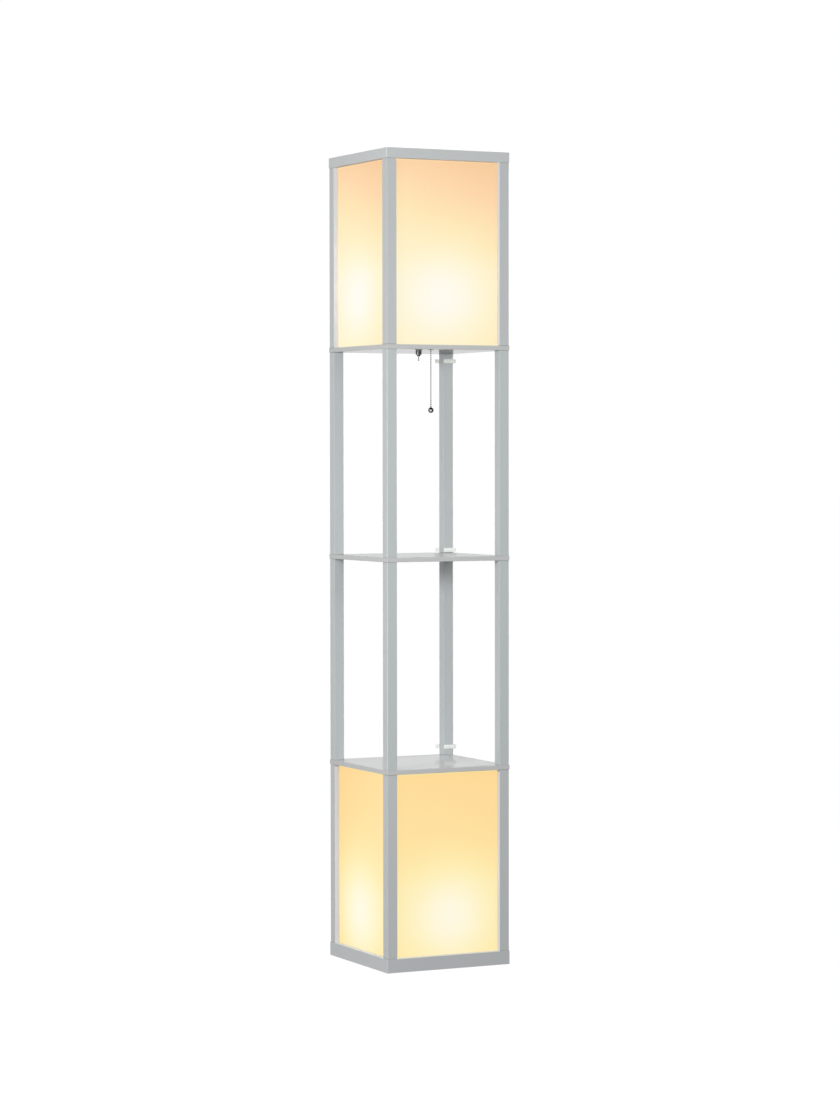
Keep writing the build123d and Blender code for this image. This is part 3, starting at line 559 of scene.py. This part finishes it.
CT = 0.0014
IN, OUT, PX = 0.112, 0.133, 0.1392
bm_all = bmesh.new()
outline = rounded(
    [(IN + 0.0003, IN), (IN + 0.0003, IN - CT), (PX + CT, IN - CT), (PX + CT, OUT + CT), (IN - 0.0064, OUT + CT), (IN - 0.0064, OUT + CT + 0.0009),
     (IN - 0.0080, OUT + CT + 0.0009), (IN - 0.0080, OUT), (PX, OUT), (PX, IN)],
    [0.0003, 0.0006, 0.0024, 0.0024, 0.0002, 0.0006, 0.0006, 0.0004, 0.0010, 0.0010])
for zc in (0.4119, 0.8135, 1.1975):
    face_verts = [bm_all.verts.new((p.x, p.y, zc - 0.004)) for p in outline]
    f = bm_all.faces.new(face_verts)
    out = bmesh.ops.extrude_face_region(bm_all, geom=[f])
    moved = [g for g in out["geom"] if isinstance(g, bmesh.types.BMVert)]
    bmesh.ops.translate(bm_all, verts=moved, vec=(0, 0, 0.008))
    # two nibs that hold the lead in the middle of the pocket
    for y in (0.1240 - 0.0034, 0.1240 + 0.0034):
        bmesh.ops.create_cube(bm_all, size=1.0, matrix=Matrix.Translation((PX - 0.0006, y, zc)) @ Matrix.Diagonal((0.0016, 0.0012, 0.0078, 1)))
flat = [e for e in bm_all.edges if len(e.link_faces) == 2 and e.calc_face_angle(0) > math.radians(50)]
bmesh.ops.bevel(bm_all, geom=flat, offset=0.00032, segments=3, profile=0.5, affect="EDGES", clamp_overlap=True)
finished("lead_clip_set", bm_all, clip_mat, "root", ["lead_clips"], 40)

# ------------------------------------------------------------------ wood screws with a cross recess
SCREWS_UP = [(sx * 0.097, sy * 0.097, 0.0) for sx in (-1, 1) for sy in (-1, 1)]
SCREWS_DOWN = [(UPPER[0], UPPER[1] - 0.0215, Z_LAN + 0.004), (UPPER[0], UPPER[1] + 0.0215, Z_LAN + 0.004),
               (LOWER[0], LOWER[1] - 0.0215, Z_BASE + 0.004), (LOWER[0], LOWER[1] + 0.0215, Z_BASE + 0.004),
               (0.040, 0.094, Z_LAN + 0.004)]


def screw(bm, x, y, z, d):
    """Countersunk head with a cross recess, and a threaded shank; d is the way the shank points, up or down."""
    steps, R = 48, 0.0035
    def depth(px, py):
        arm = 0.00042
        r = math.hypot(px, py)
        reach = 0.0019
        if r > reach:
            return 0.0
        inside = min(abs(px), abs(py)) < arm
        return 0.0011 * min(1.0, (reach - r) / 0.0009) if inside else 0.0
    n = 36
    grid = {}
    for i in range(n + 1):
        for j in range(n + 1):
            px, py = -1 + 2 * i / n, -1 + 2 * j / n
            # square grid drawn into a disc
            qx = px * math.sqrt(1 - py * py / 2) * R * 0.985
            qy = py * math.sqrt(1 - px * px / 2) * R * 0.985
            grid[i, j] = bm.verts.new((x + qx, y + qy, z + d * depth(qx, qy)))
    for i in range(n):
        for j in range(n):
            bm.faces.new((grid[i, j], grid[i + 1, j], grid[i + 1, j + 1], grid[i, j + 1]))
    pts = [(R * 0.985, 0.0), (R, 0.0001), (R, 0.0002), (0.0019, 0.0018), (0.00175, 0.0020)]
    s = 0.0024
    while s < 0.0088:
        pts += [(0.00132, s), (0.00172, s + 0.0004)]
        s += 0.0009
    pts += [(0.0013, 0.0091), (0.0, 0.011)]
    lathe(bm, [(r, d * h) for r, h in pts], (x, y, z), 28)


bm = bmesh.new()
for x, y, z in SCREWS_UP:
    screw(bm, x, y, z, 1)
for x, y, z in SCREWS_DOWN:
    screw(bm, x, y, z, -1)
finished("cross_screws", bm, zinc, "root", ["wood_screws"], 40)

# ------------------------------------------------------------------ floor, light

bm = bmesh.new()
bmesh.ops.create_grid(bm, x_segments=1, y_segments=1, size=60)
me = bpy.data.meshes.new("floor")
bm.to_mesh(me)
bm.free()
floor = bpy.data.objects.new("floor", me)
floor.location = (0, 0, -0.0002)
scene.collection.objects.link(floor)
floor.visible_diffuse = False
floor.visible_glossy = False
# Lit from below to just white, as on a light table: any brighter, and it would eat into the lamp's outline.
fm = Mat("pale_floor", color=(0.02, 0.02, 0.02, 1), rough=0.9, Specular_IOR_Level=0.0, Emission_Color=(1, 1, 1, 1), Emission_Strength=FLOOR_GLOW)
fm.set("Base Color", fm.mix(fm.spread(fm.noise(3.0, 3.0), 0, 1), (0.018, 0.018, 0.018, 1), (0.022, 0.022, 0.022, 1)))
me.materials.append(fm.m)

world = bpy.data.worlds.new("studio")
scene.world = world
world.use_nodes = True
wt = world.node_tree
wt.nodes.clear()
wo = wt.nodes.new("ShaderNodeOutputWorld")
bg = wt.nodes.new("ShaderNodeBackground")
path = wt.nodes.new("ShaderNodeLightPath")


def world_node(kind, **inputs):
    made = wt.nodes.new("ShaderNode" + kind)
    for k, v in inputs.items():
        k = k.replace("_", " ")
        if hasattr(v, "links"):
            wt.links.new(v, made.inputs[k])
        else:
            made.inputs[k].default_value = v
    return made


# Diffuse rays meet a sky that brightens upwards, glossy rays meet a bright sweep, and the camera sees white.
heading = wt.nodes.new("ShaderNodeTexCoord")
axes = wt.nodes.new("ShaderNodeSeparateXYZ")
wt.links.new(heading.outputs["Generated"], axes.inputs[0])
low_part = world_node("MapRange", Value=axes.outputs["Z"], From_Min=-0.4, From_Max=0.0, To_Min=SKY_BELOW, To_Max=SKY_SIDE)
top_part = world_node("MapRange", Value=axes.outputs["Z"], From_Min=0.0, From_Max=0.6, To_Min=0.0, To_Max=SKY_TOP - SKY_SIDE)
sky = wt.nodes.new("ShaderNodeMath")
wt.links.new(low_part.outputs[0], sky.inputs[0])
wt.links.new(top_part.outputs[0], sky.inputs[1])
sweep = world_node("MapRange", Value=axes.outputs["Z"], From_Min=-0.03, From_Max=0.03, To_Min=GLOSS_DOWN, To_Max=GLOSS_UP)
gloss = world_node("Mix", Factor=path.outputs["Is Glossy Ray"], A=sky.outputs[0], B=sweep.outputs[0])
level = world_node("Mix", Factor=path.outputs["Is Camera Ray"], A=gloss.outputs[0], B=1.02)
wt.links.new(level.outputs[0], bg.inputs["Strength"])
bg.inputs["Color"].default_value = (1, 1, 1, 1)
wt.links.new(bg.outputs[0], wo.inputs[0])


card_mat = Mat("dark_card", color=(0.012, 0.011, 0.010, 1), rough=0.9, Specular_IOR_Level=0.0).m
grey_card = Mat("grey_card", color=(0.012, 0.011, 0.010, 1), rough=0.9, Specular_IOR_Level=0.0, Emission_Color=(1, 1, 1, 1), Emission_Strength=0.11).m


def dark_card(name, bm, centre, facing=(0, 0, 1), material=card_mat):
    """A black card, modelled round its own Z axis, that only reflections see: it stands for the dark end of the room,
    which gives small polished parts their dark edges."""
    me = bpy.data.meshes.new(name)
    bm.to_mesh(me)
    bm.free()
    ob = bpy.data.objects.new(name, me)
    scene.collection.objects.link(ob)
    ob.location = centre
    ob.rotation_mode = "QUATERNION"
    ob.rotation_quaternion = Vector((0, 0, 1)).rotation_difference(Vector(facing))
    me.materials.append(material)
    for ray in ("camera", "diffuse", "transmission", "volume_scatter", "shadow"):
        setattr(ob, "visible_" + ray, False)


def around(bm, radius, low, high, start, end, step=5):
    """A wall that runs round the Z axis from one heading to another, in degrees."""
    steps = max(1, round((end - start) / step))
    ring = []
    for k in range(steps + 1):
        a = math.radians(start + (end - start) * k / steps)
        ring.append([bm.verts.new((radius * math.cos(a), radius * math.sin(a), z)) for z in (low, high)])
    for p, q in zip(ring, ring[1:]):
        bm.faces.new((p[0], q[0], q[1], p[1]))


to_cam = -fwd
cam_heading = math.degrees(math.atan2(to_cam.y, to_cam.x))
# a band round the ball, nearly square to the photograph's line of sight, and a card above it
ball_at = Vector((SW2, SW_Y, 1.0942))
bm = bmesh.new()
lathe(bm, [(0.014 * math.sin(math.radians(a)), -0.014 * math.cos(math.radians(a))) for a in range(28, 134, 7)], (0, 0, 0), 24)
dark_card("card_ball_band", bm, ball_at, to_cam - right * 0.27, grey_card)
lift = (right * 0.14 + up * 0.95 + to_cam * 0.45).normalized()
bm = bmesh.new()
lathe(bm, [(0.0, 0.0), (0.012, 0.0)], (0, 0, 0), 16)
dark_card("card_ball_top", bm, ball_at + lift * 0.0125, -lift)
# walls round the front half of the neck, with a gap to the left of the camera, and a card under it
bm = bmesh.new()
around(bm, 0.015, 1.186, 1.2115, cam_heading - 12, cam_heading + 110)
around(bm, 0.015, 1.186, 1.2115, cam_heading - 110, cam_heading - 42)
lathe(bm, [(0.0, 1.186), (0.015, 1.186)], (0, 0, 0), 24)
dark_card("card_neck", bm, (SW1, SW_Y, 0.0), material=grey_card)


def area(name, place, target, size, power, colour=(1, 1, 1)):
    d = bpy.data.lights.new(name, "AREA")
    d.shape = "RECTANGLE"
    d.size, d.size_y = size
    d.energy = power
    d.color = colour
    o = bpy.data.objects.new(name, d)
    scene.collection.objects.link(o)
    o.location = place
    o.rotation_mode = "QUATERNION"
    o.rotation_quaternion = (Vector(target) - Vector(place)).to_track_quat("-Z", "Y")
    return o


LIGHTS = {
    "key": ((-2.65, -1.55, 1.32), (0, 0, 1.1), (0.8, 0.5), 55.5),
    "front": ((-0.8, -2.4, 1.12), (0, 0, 1.1), (0.9, 0.5), 20.0),
    "left_low": ((-3.0, -0.4, 0.3), (0, 0, 0.6), (1.2, 0.8), 4.0),
    "right": ((1.3, -1.9, 1.5), (0, 0, 1.0), (0.8, 0.8), 5.0),
    "fill_right": ((2.9, 0.3, 1.3), (0, 0, 0.9), (1.2, 1.2), 60.0),
    "fill_rear": ((0.4, 2.9, 1.3), (0, 0, 0.9), (1.2, 1.2), 60.0),
    "over": ((0, 0, 3.6), (0, 0, 1.6), (0.25, 0.25), 22.0),
}
for name, (place, target, size, power) in LIGHTS.items():
    if power:
        area(name, place, target, size, power).visible_glossy = False

for name, (x, y, z), power in (("upper_glow", UPPER, LAMP_UP), ("lower_glow", LOWER, LAMP_LOW)):
    d = bpy.data.lights.new(name, "POINT")
    d.energy = power
    d.color = (1.0, 0.80, 0.52)
    d.shadow_soft_size = 0.02
    o = bpy.data.objects.new(name, d)
    scene.collection.objects.link(o)
    o.location = (x, y, z + 0.150)
